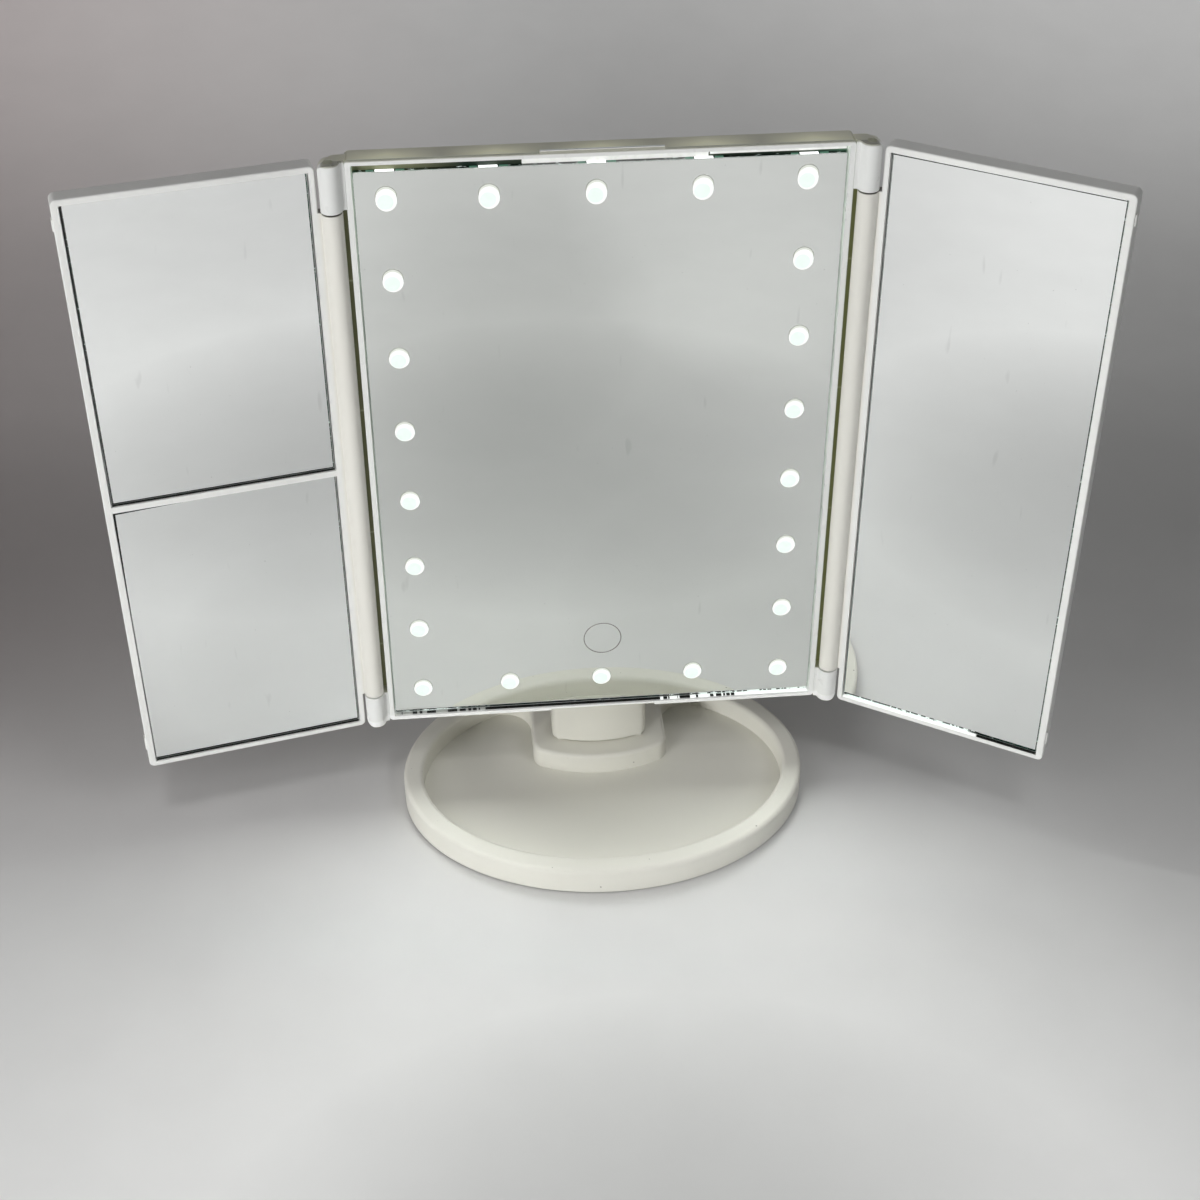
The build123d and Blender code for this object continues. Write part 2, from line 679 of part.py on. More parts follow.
def clamp_screws():
    under = BASE_TOP - BASE_WALL - 1.5
    screws = []
    for x, y in clamp_screw_places():
        shank = rod("z", 1.25, under - 0.5, NECK_BOTTOM + 1.4, x, y)
        screw = shank + rod("z", 2.4, under - 1.6, under, x, y)
        screws.append(screw.solid())
    return Compound(screws)


def tilt_shaft():
    """Steel rod through the neck, with a round head at one end and a threaded one at the other."""
    reach = NECK_HALF + 0.1 + WASHER + LUG_THICKNESS
    shaft = rod("x", SHAFT_RADIUS, -reach - 0.5, reach + 3.2, PIVOT_BACK, PIVOT_UP)
    return shaft + rod("x", 4.5, -reach - 2.2, -reach, PIVOT_BACK, PIVOT_UP)


def tilt_nut():
    reach = NECK_HALF + 0.1 + WASHER + LUG_THICKNESS
    nut = Plane.YZ * RegularPolygon(4.6, 6)
    nut = Pos(reach, PIVOT_BACK, PIVOT_UP) * extrude(nut, 2.6)
    return nut - rod("x", SHAFT_RADIUS, 0, 60, PIVOT_BACK, PIVOT_UP)


def friction_washers():
    rings = []
    for side in (-1, 1):
        x = sorted((side * (NECK_HALF + 0.1), side * (NECK_HALF + 0.1 + WASHER)))
        ring = rod("x", 6.5, x[0], x[1], PIVOT_BACK, PIVOT_UP)
        ring -= rod("x", SHAFT_RADIUS, -40, 40, PIVOT_BACK, PIVOT_UP)
        rings.append(ring.solid())
    return Compound(rings)


def left(shape):
    """The left-hand version of a wing piece."""
    return mirror(shape, about=Plane.YZ)


STAND_PIECES = {
    "base_tray": base_tray(),
    "anti_slip_pad": anti_slip_pad(),
    "neck_front_shell": neck_half(True),
    "neck_rear_shell": neck_half(False),
    "neck_shell_screws": neck_screws(),
    "neck_clamp_plate": clamp_plate(),
    "neck_clamp_screws": clamp_screws(),
}

PANEL_PIECES = {
    "front_bezel": front_bezel(),
    "rear_housing": rear_housing(),
    "housing_screws": housing_screws(),
    "centre_mirror": centre_mirror(),
    "centre_mirror_tape": centre_mirror_tape(),
    "lamp_lenses": lamp_lenses(),
    "lamp_chips": lamp_chips(),
    "lamp_strip_left": upright_strip(-1),
    "lamp_strip_right": upright_strip(1),
    "lamp_strip_top": level_strip(LAMP_TOP),
    "lamp_strip_bottom": level_strip(LAMP_BOTTOM),
    "lamp_wires": lamp_wires(),
    "touch_sensor": touch_sensor(),
    "control_board": control_board(),
    "board_chips": board_chips(),
    "switch_body": switch_body(),
    "power_switch_knob": power_switch(),
    "charge_socket": charge_socket(),
    "battery_cells": battery_cells(),
    "battery_springs": battery_springs(),
    "battery_contacts": battery_contacts(),
    "battery_door": battery_door(),
    "tilt_shaft": tilt_shaft(),
    "tilt_nut": tilt_nut(),
    "friction_washers": friction_washers(),
    "left_hinge_pins": hinge_pins(-1),
    "right_hinge_pins": hinge_pins(1),
}

lower_pane, upper_pane = wing_panes(True)
LEFT_PIECES = {
    "left_wing_frame": left(wing_frame(True)),
    "left_upper_mirror": left(wing_glass(upper_pane)),
    "left_lower_mirror": left(wing_glass(lower_pane)),
    "left_mirror_tape": left(wing_tape(True)),
}

RIGHT_PIECES = {
    "right_wing_frame": wing_frame(False),
    "right_mirror": wing_glass(wing_panes(False)[0]),
    "right_mirror_tape": wing_tape(False),
}

os.makedirs("parts", exist_ok=True)
for place, pieces in (
    (Pos(0, 0, 0), STAND_PIECES),
    (PANEL, PANEL_PIECES),
    (LEFT_WING, LEFT_PIECES),
    (RIGHT_WING, RIGHT_PIECES),
):
    for name, shape in pieces.items():
        export_step(place * shape, "parts/" + name + ".step")
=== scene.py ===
import json
import math
import random

import bmesh
import bpy
from mathutils import Matrix, Vector


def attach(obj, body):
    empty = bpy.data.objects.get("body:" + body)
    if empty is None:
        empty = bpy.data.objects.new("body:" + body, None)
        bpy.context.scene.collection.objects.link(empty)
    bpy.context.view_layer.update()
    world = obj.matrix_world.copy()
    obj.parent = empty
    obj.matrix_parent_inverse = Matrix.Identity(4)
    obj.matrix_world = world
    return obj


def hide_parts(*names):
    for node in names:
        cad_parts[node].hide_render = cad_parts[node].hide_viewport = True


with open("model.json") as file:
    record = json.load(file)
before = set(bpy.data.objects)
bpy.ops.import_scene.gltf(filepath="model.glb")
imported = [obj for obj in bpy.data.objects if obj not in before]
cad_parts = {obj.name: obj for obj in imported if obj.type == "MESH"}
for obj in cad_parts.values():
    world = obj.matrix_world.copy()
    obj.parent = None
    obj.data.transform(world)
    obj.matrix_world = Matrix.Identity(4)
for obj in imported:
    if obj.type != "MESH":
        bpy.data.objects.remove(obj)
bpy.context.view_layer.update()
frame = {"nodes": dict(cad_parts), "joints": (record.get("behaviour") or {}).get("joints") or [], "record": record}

# Sizes of the mirror are in millimetres and sizes of the stage are in metres.
MM = 0.001
JOINTS = {joint["name"]: joint for joint in frame["joints"]}

# ---- camera, matched to the photograph's viewing angle ----
CAMERA_PLACE = (-0.0554, -0.6028, 0.5734)
CAMERA_TURN = (51.66, 0.0, -5.14)
CAMERA_LENS = 61.66
SENSOR_WIDTH = 36.0

# ---- sizes on the panel, in the panel's own frame: X across, Y to the back, Z up ----
HINGE_UP = 117.0
BEZEL_TOP = 234.3
CATCH_HALF = 20.5
EAR_INSIDE = 83.1
EAR_LOW_TOP = 13.9
EAR_HIGH_FOOT = 217.8
# heights of the thin pale lines of painted light across the walls behind the hinge barrels
SLOT_LINES_UP = (35.0, 87.0, 139.0, 190.0)
BARREL_TOP = 217.2
CELL_BAND = 88.0

# ---- lamps and touch ring ----
LAMP_COLUMN = 69.2
LAMP_BOTTOM = 13.39
LAMP_STEP = 29.5
LAMP_ROWS = 8
LAMP_TOP = LAMP_BOTTOM + LAMP_STEP * (LAMP_ROWS - 1)
LAMP_RADIUS = 3.45
GHOST_RISE = 0.95
SECOND_GHOST_RISE = 1.7
TOUCH_CENTRE = (0.0, 33.3)
TOUCH_RADIUS = 7.07

# ---- panes: (low, high) spans across and up; a wing's X runs outward from its hinge ----
GLASS_FRONT = 2.0
GLASS_THICKNESS = 1.8
ARRIS = 0.2
CENTRE_ACROSS = (-80.9, 80.9)
CENTRE_UP = (2.3, 230.0)
WING_INSIDE, WING_OUTSIDE = 6.65, 84.75
WING_UP = (1.3, 231.5)
LEFT_LOWER_UP = (WING_UP[0], 115.1)
LEFT_UPPER_UP = (118.1, WING_UP[1])

BLACK = (0.0, 0.0, 0.0)


# ---------------------------------------------------------------- places

def lean_angle():
    """How far the panel leans back, from the direction of a wing hinge."""
    axis = Vector(JOINTS["left_hinge"]["axis"])
    return math.atan2(axis.y, axis.z)


def panel_matrix():
    """Panel frame: X across, Y towards the back, Z up from the bezel's lower edge."""
    axis = Vector(JOINTS["left_hinge"]["axis"])
    middle = (Vector(JOINTS["left_hinge"]["pos_m"]) + Vector(JOINTS["right_hinge"]["pos_m"])) / 2
    return Matrix.Translation(middle - axis * HINGE_UP * MM) @ Matrix.Rotation(-lean_angle(), 4, "X")


PANEL = panel_matrix()
HINGE_X = JOINTS["right_hinge"]["pos_m"][0]
LEFT_TURN = math.radians(-JOINTS["left_hinge"]["range_deg"][0])
RIGHT_TURN = math.radians(-JOINTS["right_hinge"]["range_deg"][1])
LEFT_WING = PANEL @ Matrix.Translation((-HINGE_X, 0, 0)) @ Matrix.Rotation(LEFT_TURN, 4, "Z")
RIGHT_WING = PANEL @ Matrix.Translation((HINGE_X, 0, 0)) @ Matrix.Rotation(RIGHT_TURN, 4, "Z")


def lamp_places():
    """(x, z) of the 22 lamps. The strips are glued in by hand: the left column sags in the middle and
    bends out at the top, the right one climbs and bends in, and the level rows sit off the middle."""
    places = []
    for row in range(LAMP_ROWS):
        share = row / (LAMP_ROWS - 1)
        z = LAMP_BOTTOM + row * LAMP_STEP
        places.append((-LAMP_COLUMN - 0.25 - 1.0 * share ** 3, z - math.sin(math.pi * share)))
        places.append((LAMP_COLUMN - 0.55 - 0.5 * share ** 3, z + 1.6 * share ** 2))
    for step in (-1, 0, 1):
        places.append((step * (LAMP_COLUMN / 2 + 0.9) - 0.4, LAMP_BOTTOM + 0.8))
        places.append((step * (LAMP_COLUMN / 2 + 0.6) - 1.8, LAMP_TOP - 0.6))
    return places


# ---------------------------------------------------------------- node helpers

class Shader:
    """A Principled material and short ways to add nodes to it."""

    def __init__(self, name, colour, roughness, metallic=0.0):
        self.material = bpy.data.materials.new(name)
        self.material.use_nodes = True
        self.tree = self.material.node_tree
        self.surface = self.tree.nodes["Principled BSDF"]
        self.surface.inputs["Base Color"].default_value = (*colour, 1.0)
        self.surface.inputs["Roughness"].default_value = roughness
        self.surface.inputs["Metallic"].default_value = metallic
        self.coordinates = self.node("ShaderNodeTexCoord").outputs["Object"]

    def node(self, kind, **values):
        made = self.tree.nodes.new(kind)
        for key, value in values.items():
            setattr(made, key, value)
        return made

    def link(self, source, target):
        self.tree.links.new(source, target)

    def put(self, target, value):
        """Link a socket, or set a plain number or colour."""
        if isinstance(value, bpy.types.NodeSocket):
            self.link(value, target)
        elif isinstance(value, tuple):
            target.default_value = (*value, 1.0)
        else:
            target.default_value = value

    # ---- values ----

    def noise(self, scale, detail=3.0, roughness=0.5, stretch=(1.0, 1.0, 1.0)):
        mapping = self.node("ShaderNodeMapping")
        mapping.inputs["Scale"].default_value = stretch
        self.link(self.coordinates, mapping.inputs["Vector"])
        texture = self.node("ShaderNodeTexNoise")
        texture.inputs["Scale"].default_value = scale
        texture.inputs["Detail"].default_value = detail
        texture.inputs["Roughness"].default_value = roughness
        self.link(mapping.outputs["Vector"], texture.inputs["Vector"])
        return texture.outputs["Fac"]

    def ramp(self, value, low, high, start=0.0, end=1.0):
        """value, taken from low..high to start..end and held there outside."""
        mapped = self.node("ShaderNodeMapRange")
        self.link(value, mapped.inputs["Value"])
        for key, number in (("From Min", low), ("From Max", high), ("To Min", start), ("To Max", end)):
            mapped.inputs[key].default_value = number
        return mapped.outputs["Result"]

    def fade(self, value, low, high):
        """1 below low, falling to 0 at high."""
        return self.ramp(value, low, high, 1.0, 0.0)

    def maths(self, operation, first, second=0.0):
        step = self.node("ShaderNodeMath", operation=operation)
        self.put(step.inputs[0], first)
        self.put(step.inputs[1], second)
        return step.outputs[0]

    def all_of(self, first, *others):
        """The product of several shares."""
        for other in others:
            first = self.maths("MULTIPLY", first, other)
        return first

    def away(self, value, centre=0.0):
        """Distance of value from centre."""
        return self.maths("ABSOLUTE", self.maths("SUBTRACT", value, centre))

    def patch(self, places, centres, reaches, edge=1.0):
        """A soft round patch: 1 in its centre, 0 where the squares of distance / reach add up to edge."""
        total = 0.0
        for place, centre, reach in zip(places, centres, reaches):
            distance = self.maths("DIVIDE", self.maths("SUBTRACT", place, centre), reach)
            total = self.maths("ADD", total, self.maths("POWER", distance, 2.0))
        return self.fade(total, 0.0, edge)

    def local(self, matrix):
        """Separate X, Y and Z in a moving group's own frame, in millimetres."""
        mapping = self.node("ShaderNodeMapping", vector_type="TEXTURE")
        mapping.inputs["Location"].default_value = matrix.to_translation()
        mapping.inputs["Rotation"].default_value = matrix.to_euler()
        mapping.inputs["Scale"].default_value = (MM, MM, MM)
        self.link(self.coordinates, mapping.inputs["Vector"])
        split = self.node("ShaderNodeSeparateXYZ")
        self.link(mapping.outputs["Vector"], split.inputs["Vector"])
        return split.outputs

    # ---- colours ----

    def mix(self, share, first, second, blend_type="MIX"):
        """first where share is 0, second where it is 1; colours or colour outputs."""
        blend = self.node("ShaderNodeMix", data_type="RGBA", blend_type=blend_type)
        self.put(blend.inputs["Factor"], share)
        self.put(blend.inputs["A"], first)
        self.put(blend.inputs["B"], second)
        return blend.outputs["Result"]

    def multiply(self, share, first, second):
        """first times second, faded in by share."""
        return self.mix(share, first, second, "MULTIPLY")

    # ---- what the surface is made of ----

    def colour(self, value):
        self.link(value, self.surface.inputs["Base Color"])

    def tint(self, share, value):
        """Lay a colour over the base colour that is already there."""
        base = self.surface.inputs["Base Color"].links[0].from_socket
        self.colour(self.mix(share, base, value))

    def rough(self, value, low, high):
        self.link(self.ramp(value, 0.3, 0.7, low, high), self.surface.inputs["Roughness"])

    def coat(self, weight, roughness):
        self.surface.inputs["Coat Weight"].default_value = weight
        self.surface.inputs["Coat Roughness"].default_value = roughness

    def glow(self, value, strength):
        self.link(value, self.surface.inputs["Emission Color"])
        self.surface.inputs["Emission Strength"].default_value = strength

    def bump(self, height, strength, depth):
        bump = self.node("ShaderNodeBump")
        bump.inputs["Strength"].default_value = strength
        bump.inputs["Distance"].default_value = depth
        self.link(height, bump.inputs["Height"])
        self.link(bump.outputs["Normal"], self.surface.inputs["Normal"])


def shade(colour, factor):
    return tuple(channel * factor for channel in colour)


def grey(value):
    return (value, value, value)


# ---------------------------------------------------------------- plastics

def moulded_plastic(name, colour, roughness, grain=1400.0, depth=0.00004, mottle=0.04):
    """Injection-moulded plastic: fine spark texture, faint flow marks, uneven gloss."""
    made = Shader(name, colour, roughness)
    flow = made.ramp(made.noise(22.0, 2.0), 0.35, 0.65)
    made.colour(made.mix(flow, shade(colour, 1.0 - mottle), colour))
    made.rough(made.noise(160.0, 3.0), roughness - 0.06, roughness + 0.06)
    made.bump(made.noise(grain, 4.0, 0.6), 0.35, depth)
    return made


def bezel_plastic():
    """Bright lip, olive with painted shade along its top, left bright on a pale line at the catch. The walls
    beside the glass glow with painted greenish lamp light from its cut edge, and its foot with painted grey lamp
    light."""
    painted_shade_front, painted_shade_top = (0.43, 0.43, 0.36), (0.66, 0.66, 0.54)
    wall_light, foot_light = (0.80, 1.0, 0.80), (0.45, 0.45, 0.44)
    made = moulded_plastic("bezel_plastic", (0.92, 0.93, 0.91), 0.32, 1800.0, 0.00002, 0.025)
    x, y, z = made.local(PANEL)
    catch_line = made.all_of(
        made.fade(made.away(x), CATCH_HALF, CATCH_HALF + 0.1),
        made.ramp(z, BEZEL_TOP + 1.3, BEZEL_TOP + 1.5),
    )
    # painted shade on the lip's up-facing top, olive
    top = made.maths("SUBTRACT", made.ramp(z, BEZEL_TOP, BEZEL_TOP + 0.5), catch_line)
    made.tint(top, made.mix(made.ramp(y, 0.2, 0.4), painted_shade_front, painted_shade_top))
    uneven = made.ramp(made.noise(35.0, 3.0), 0.35, 0.65, 0.35, 1.0)
    # painted greenish lamp light on the walls beside the glass, painted grey lamp light along the foot
    wall = made.all_of(made.ramp(y, 0.6, 1.0), made.fade(y, 4.0, 4.4), uneven)
    foot = made.fade(z, 2.0, 2.8)
    made.glow(made.mix(foot, made.mix(wall, BLACK, wall_light), foot_light), 0.25)
    made.coat(0.15, 0.15)
    return made.material


def housing_plastic():
    """Warm white, paler at the back. Its thin top lets a little lamp light through, painted as a warmer tint and a
    faint glow near the lamps, and elsewhere the top and the ear tops are tinted darker as painted shade. The
    narrow walls behind the hinge barrels are painted in deep shade with a faint painted olive glow, crossed by a
    few thin pale lines of painted light."""
    top_painted_shade, top_painted_glow, leak = (0.72, 0.72, 0.60), (0.95, 0.94, 0.74), (0.15, 0.15, 0.10)
    shade_low, shade_high = (0.08, 0.085, 0.03), (0.13, 0.135, 0.06)
    slot_glow_left, slot_glow_right, slot_line_glow = (0.032, 0.034, 0.016), (0.062, 0.068, 0.026), (0.13, 0.14, 0.09)
    made = moulded_plastic("housing_plastic", (0.74, 0.73, 0.64), 0.42)
    x, y, z = made.local(PANEL)
    beside = made.ramp(made.away(x), EAR_INSIDE, EAR_INSIDE + 0.2)

    # painted lamp light: warm glowing spots on the top in front of each lamp
    lamp_glow_spots = 0.0
    for step in range(-2, 3):
        lamp_glow_spot = made.fade(made.away(x, step * LAMP_COLUMN / 2), 0.0, 17.0)
        lamp_glow_spots = made.maths("MAXIMUM", lamp_glow_spots, lamp_glow_spot)
    lamp_glow_spots = made.all_of(lamp_glow_spots, made.ramp(y, 2.0, 8.0, 1.0, 0.2))
    ear_top = made.all_of(beside, made.ramp(z, 226.0, 232.0))
    # painted shade on the up-facing top and the ear tops
    top = made.maths("MAXIMUM", made.ramp(z, BEZEL_TOP + 0.1, BEZEL_TOP + 0.7), ear_top)
    made.tint(made.ramp(y, 6.0, 10.0), (0.84, 0.84, 0.80))
    made.tint(top, made.mix(lamp_glow_spots, top_painted_shade, top_painted_glow))

    # painted deep shade on the walls behind the hinge barrels
    slot = made.all_of(
        beside,
        made.fade(y, 4.4, 4.7),
        made.ramp(z, EAR_LOW_TOP, EAR_LOW_TOP + 0.3),
        made.fade(z, EAR_HIGH_FOOT, EAR_HIGH_FOOT + 0.3),
    )
    made.tint(slot, made.mix(made.ramp(made.noise(60.0, 2.0), 0.3, 0.7), shade_low, shade_high))
    # thin pale lines of painted light across those walls
    lines = 0.0
    for height in SLOT_LINES_UP:
        lines = made.maths("MAXIMUM", lines, made.fade(made.away(z, height), 0.2, 0.5))
    slot_light = made.mix(made.ramp(x, -10.0, 10.0), slot_glow_left, slot_glow_right)
    slot_light = made.mix(lines, slot_light, slot_line_glow)
    # painted glow of lamp light on the top and in the slots
    top_light = made.mix(made.all_of(lamp_glow_spots, top), BLACK, leak)
    made.glow(made.mix(slot, top_light, slot_light), 1.0)
    return made.material


def wing_plastic(name, matrix):
    """Bright lips, warmer along the hinge barrel, whose top end is painted dark as the shade of the ear."""
    made = moulded_plastic(name, (0.95, 0.955, 0.93), 0.36, 1600.0, 0.00003)
    x, _, z = made.local(matrix)
    # painted shade at the barrel's top end, under the ear
    barrel_end_shade = made.ramp(z, BARREL_TOP, BARREL_TOP + 0.2)
    barrel = made.mix(barrel_end_shade, (0.90, 0.885, 0.82), (0.12, 0.11, 0.09))
    made.tint(made.fade(made.away(x), 3.5, 5.0), barrel)
    return made.material


def stand_plastic():
    """Warm white with a few dark specks."""
    made = moulded_plastic("stand_plastic", (0.86, 0.85, 0.775), 0.46, 1100.0, 0.00006, 0.03)
    made.tint(made.ramp(made.noise(420.0, 1.0), 0.80, 0.83), (0.45, 0.43, 0.38))
    return made.material


def rubber(name, colour):
    return moulded_plastic(name, colour, 0.75, 700.0, 0.00008, 0.15).material


# ---------------------------------------------------------------- glass and light

def silver(name, colour, matrix, reflection_patches):
    """Silvered float glass with dust and finger marks, and soft patches (x, z, reach, factor) in the pane's own
    frame that paint its reflection lighter or darker."""
    made = Shader(name, colour, 0.01, 1.0)
    x, _, z = made.local(matrix)
    smear = made.ramp(made.noise(260.0, 1.0, 0.5, (1.0, 1.0, 0.2)), 0.74, 0.80)
    tint = made.mix(smear, colour, shade(colour, 0.90))
    # painted lighter and darker patches of reflection
    for centre_x, centre_z, reach, factor in reflection_patches:
        tint = made.multiply(made.patch((x, z), (centre_x, centre_z), (reach, reach)), tint, grey(factor))
    dust = made.ramp(made.noise(900.0, 1.0), 0.79, 0.84)
    made.colour(made.multiply(dust, tint, grey(0.8)))
    made.link(made.ramp(made.noise(12.0, 4.0), 0.45, 0.8, 0.0, 0.035), made.surface.inputs["Roughness"])
    return made.material


def glass_edge(name, matrix, glowing=()):
    """Ground glass edge: almost black green, with chips whose glints are painted highlights that glow.
    glowing lists stretches (low, high, share) of the lower edge with painted lamp light leaving the glass."""
    made = Shader(name, (0.010, 0.030, 0.022), 0.18)
    x, _, z = made.local(matrix)
    edge_marks = made.noise(900.0, 4.0, 0.7, (0.35, 1.0, 1.0))
    taper = 6.0
    for low, high, share in glowing:
        rising = made.ramp(x, low, low + taper)
        falling = made.ramp(x, high - taper, high, share, 0.0)
        near_foot = made.ramp(z, 4.0, 8.0, 0.25, 0.0)
        edge_marks = made.maths("ADD", edge_marks, made.all_of(rising, falling, near_foot))
    # painted glints and painted lamp light, pale and glowing
    glint = made.ramp(edge_marks, 0.60, 0.68)
    green = made.ramp(made.noise(60.0, 3.0), 0.35, 0.7)
    body = made.mix(green, (0.004, 0.008, 0.007), (0.016, 0.060, 0.040))
    made.colour(made.mix(glint, body, (0.60, 0.68, 0.64)))
    made.glow(made.mix(glint, BLACK, (0.55, 0.62, 0.60)), 0.8 if glowing else 0.15)
    made.coat(0.6, 0.08)
    return made.material


def arris_glass():
    """The narrow ground chamfer around a pane."""
    made = Shader("arris_glass", (0.80, 0.84, 0.82), 0.12)
    wear = made.ramp(made.noise(300.0, 3.0), 0.4, 0.6)
    made.colour(made.mix(wear, (0.62, 0.68, 0.65), (0.88, 0.90, 0.89)))
    return made.material


def frosted_glass(name, colour):
    made = Shader(name, colour, 0.5)
    made.colour(made.mix(made.ramp(made.noise(1500.0, 2.0), 0.4, 0.6), shade(colour, 0.9), colour))
    made.bump(made.noise(3000.0, 2.0), 0.3, 0.00002)
    return made.material


def lit(name, colour, strength, body=0.3):
    """A glowing surface, a little uneven. body is how pale it is under other light."""
    made = Shader(name, shade(colour, body), 0.4)
    uneven = made.ramp(made.noise(420.0, 2.0), 0.35, 0.65)
    made.colour(made.mix(uneven, shade(colour, body * 0.8), shade(colour, body)))
    made.glow(made.mix(uneven, shade(colour, 0.96), colour), strength)
    return made.material


def seam_shadow():
    made = Shader("seam_shadow", (0.012, 0.014, 0.012), 0.5)
    # painted shadow, a little uneven
    shadow_variation = made.ramp(made.noise(800.0, 2.0), 0.4, 0.7)
    made.colour(made.mix(shadow_variation, (0.006, 0.007, 0.006), (0.035, 0.038, 0.033)))
    return made.material


def carrier_shade():
    """Painted shade: almost black between the lamps, with painted olive lamp light towards the left end and
    painted green lamp light at the right end.
    """
    made = Shader("carrier_shade", (0.04, 0.05, 0.035), 0.5)
    x = made.local(PANEL)[0]
    patches = made.ramp(made.noise(45.0, 2.0), 0.40, 0.65)
    dark = made.mix(patches, (0.015, 0.03, 0.022), (0.06, 0.075, 0.05))
    left = made.mix(made.fade(x, -62.0, -45.0), dark, (0.24, 0.25, 0.15))
    made.colour(made.mix(made.ramp(x, 70.0, 79.0), left, (0.14, 0.27, 0.18)))
    return made.material


# ---------------------------------------------------------------- metal and electrics

def metal(name, colour, roughness):
    """Zinc-plated steel with faint drawing lines."""
    made = Shader(name, colour, roughness, 1.0)
    lines = made.noise(300.0, 4.0, 0.6, (1.0, 14.0, 14.0))
    made.colour(made.mix(made.ramp(lines, 0.3, 0.7), shade(colour, 0.82), colour))
    made.rough(made.noise(240.0, 3.0), roughness - 0.08, roughness + 0.10)
    made.bump(lines, 0.2, 0.00002)
    return made.material


def printed_sleeve():
    """Shrink sleeve of a cell: a dark body with a plain metallic band."""
    dark, light = (0.03, 0.09, 0.07), (0.04, 0.11, 0.09)
    made = Shader("cell_sleeve", dark, 0.35)
    z = made.local(PANEL)[2]
    body = made.mix(made.ramp(made.noise(80.0, 2.0), 0.4, 0.6), dark, light)
    made.colour(made.mix(made.ramp(z, CELL_BAND, CELL_BAND + 0.5), body, (0.55, 0.42, 0.20)))
    made.rough(made.noise(200.0, 2.0), 0.25, 0.4)
    return made.material


def circuit_board(name, colour):
    """Solder mask over a faint pattern of tracks."""
    made = Shader(name, colour, 0.4)
    tracks = made.node("ShaderNodeTexBrick")
    tracks.inputs["Scale"].default_value = 160.0
    made.link(made.coordinates, tracks.inputs["Vector"])
    made.colour(made.mix(made.ramp(tracks.outputs["Fac"], 0.2, 0.8), colour, shade(colour, 0.75)))
    made.bump(tracks.outputs["Fac"], 0.3, 0.00003)
    return made.material


CENTRE_TONE, WING_TONE = (0.775, 0.795, 0.775), (0.92, 0.935, 0.93)
# soft patches of painted lighter or darker reflection on each pane: (x, z, reach, factor)
CENTRE_REFLECTION_PATCHES = ((75, 225, 90, 1.24), (-40, 172, 60, 0.86), (40, 45, 60, 0.90))
LEFT_REFLECTION_PATCHES = ((-45, 190, 80, 1.06), (-25, 40, 50, 0.88))
RIGHT_REFLECTION_PATCHES = ((40, 45, 70, 0.92), (45, 190, 80, 1.06))
SILVERS = {
    "panel": silver("centre_silver", CENTRE_TONE, PANEL, CENTRE_REFLECTION_PATCHES),
    "left_wing": silver("left_silver", WING_TONE, LEFT_WING, LEFT_REFLECTION_PATCHES),
    "right_wing": silver("right_silver", WING_TONE, RIGHT_WING, RIGHT_REFLECTION_PATCHES),
}
SLOT_MATERIALS = {
    "bezel_plastic": bezel_plastic(),
    "housing_plastic": housing_plastic(),
    "stand_plastic": stand_plastic(),
    "silvered_glass": SILVERS["panel"],
    "frosted_lens": lit("frosted_lens", (0.95, 1.0, 0.97), 1.0),
    "lamp_phosphor": lit("lamp_phosphor", (1.0, 0.93, 0.62), 1.5),
    "white_board": circuit_board("white_board", (0.80, 0.81, 0.79)),
    "green_board": circuit_board("green_board", (0.03, 0.16, 0.07)),
    "black_plastic": moulded_plastic("black_plastic", grey(0.018), 0.45, mottle=0.2).material,
    "red_insulation": rubber("red_insulation", (0.40, 0.03, 0.02)),
    "foam_tape": rubber("foam_tape", (0.60, 0.60, 0.57)),
    "plated_steel": metal("plated_steel", (0.62, 0.62, 0.60), 0.32),
    "cell_sleeve": printed_sleeve(),
    "rubber_pad": rubber("rubber_pad", grey(0.05)),
}
WING_MATERIALS = {
    "left_wing_frame": wing_plastic("left_wing_plastic", LEFT_WING),
    "right_wing_frame": wing_plastic("right_wing_plastic", RIGHT_WING),
}
ARRIS_MATERIAL = arris_glass()
BACKING_MATERIAL = moulded_plastic("backing_paint", (0.23, 0.24, 0.25), 0.6, 500.0, 0.00003, 0.2).material
# painted shadow for dark gaps, ledges and marks
SEAM_SHADOW_MATERIAL = seam_shadow()
# painted shade, painted lamp light and painted sheen for the ledges
LEDGE_MATERIALS = (
    SEAM_SHADOW_MATERIAL,
    lit("foot_glow", (0.93, 0.97, 0.94), 0.95, 0.5),
    lit("foot_sheen", (0.50, 0.52, 0.49), 0.35, 0.6),
)


def paint_cad_nodes():
    """Every CAD node gets its slot's procedural material."""
    for part in frame["record"]["subparts"]:
        node = part["node"]
        material = WING_MATERIALS.get(node) or SLOT_MATERIALS[part["material_slot"]]
        mesh = frame["nodes"][node].data
        mesh.materials.clear()
        mesh.materials.append(material)


# ---------------------------------------------------------------- mesh helpers

def finish_piece(mesh, name, matrix, materials, body, replaces=()):
    """Turn a bmesh drawn in millimetres into a piece that rides a body."""
    bmesh.ops.recalc_face_normals(mesh, faces=mesh.faces)
    data = bpy.data.meshes.new(name)
    mesh.to_mesh(data)
    mesh.free()
    data.transform(matrix @ Matrix.Scale(MM, 4))
    for material in materials:
        data.materials.append(material)
    piece = bpy.data.objects.new(name, data)
    bpy.context.scene.collection.objects.link(piece)
    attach(piece, body)
    if replaces:
        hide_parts(*replaces)


